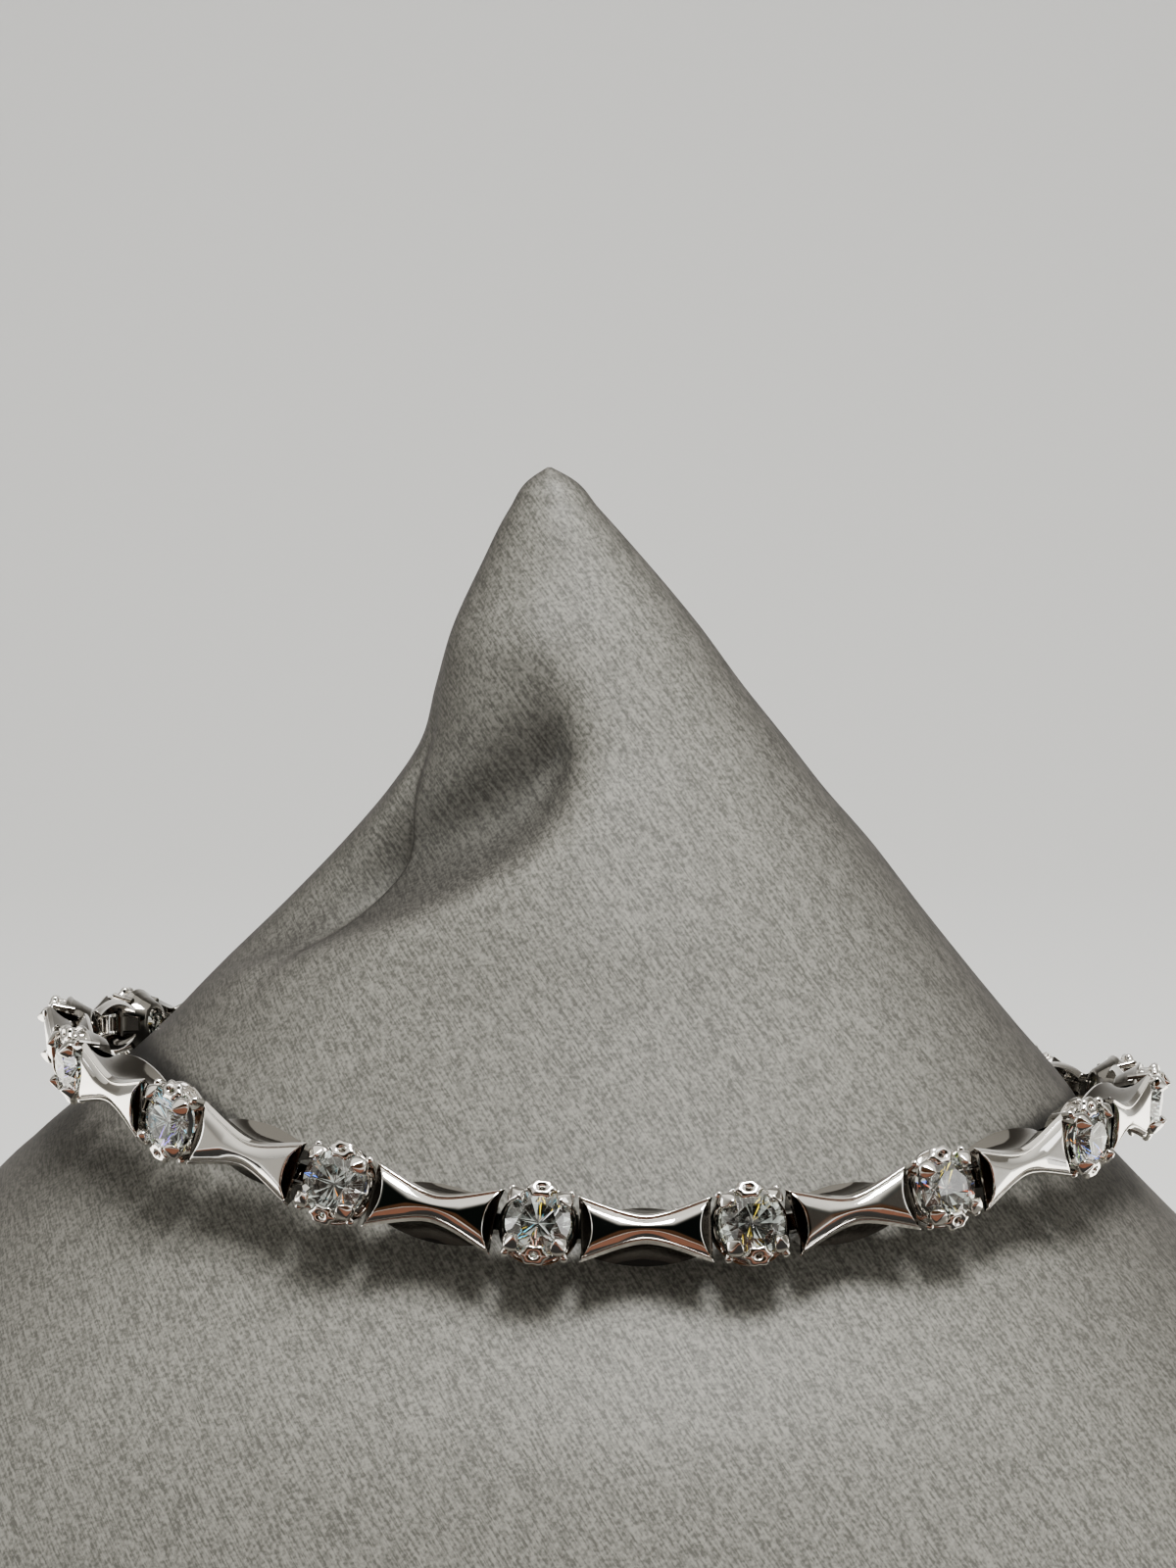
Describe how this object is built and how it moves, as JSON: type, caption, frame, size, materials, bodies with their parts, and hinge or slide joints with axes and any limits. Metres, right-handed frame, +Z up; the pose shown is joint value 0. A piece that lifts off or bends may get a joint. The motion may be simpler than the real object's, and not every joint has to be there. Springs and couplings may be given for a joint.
{
  "type": "tennis bracelet on a gray display bust",
  "caption": "Tennis bracelet of round four-prong stones joined by waisted polished bone-shaped links, lying round a gray neck-shaped display bust.",
  "frame": {"origin": "middle of the bust's flat base, on the surface that it stands on", "axes": "+Z up through the neck, -Y towards the viewer of the picture, +X to the picture's right"},
  "size_m": [0.1058, 0.0821, 0.0686],
  "materials": {
    "white_gold": "mirror-polished white gold",
    "diamond": "clear faceted stone, polished",
    "gray_leatherette": "satin gray leatherette with a fine brushed grain"
  },
  "bodies": {
    "root": {"setting_01": "white_gold", "setting_02": "white_gold", "setting_03": "white_gold", "setting_04": "white_gold", "setting_05": "white_gold", "setting_06": "white_gold", "setting_07": "white_gold", "setting_08": "white_gold", "setting_09": "white_gold", "setting_10": "white_gold", "setting_11": "white_gold", "setting_12": "white_gold", "setting_13": "white_gold", "setting_14": "white_gold", "setting_15": "white_gold", "setting_16": "white_gold", "setting_17": "white_gold", "bone_link_01": "white_gold", "bone_link_02": "white_gold", "bone_link_03": "white_gold", "bone_link_04": "white_gold", "bone_link_05": "white_gold", "bone_link_06": "white_gold", "bone_link_07": "white_gold", "bone_link_08": "white_gold", "bone_link_09": "white_gold", "bone_link_10": "white_gold", "bone_link_11": "white_gold", "bone_link_12": "white_gold", "bone_link_13": "white_gold", "bone_link_14": "white_gold", "bone_link_15": "white_gold", "bone_link_16": "white_gold", "clasp": "white_gold", "stone_01": "diamond", "stone_02": "diamond", "stone_03": "diamond", "stone_04": "diamond", "stone_05": "diamond", "stone_06": "diamond", "stone_07": "diamond", "stone_08": "diamond", "stone_09": "diamond", "stone_10": "diamond", "stone_11": "diamond", "stone_12": "diamond", "stone_13": "diamond", "stone_14": "diamond", "stone_15": "diamond", "stone_16": "diamond", "stone_17": "diamond", "display_bust": "gray_leatherette"}
  },
  "joints": []
}
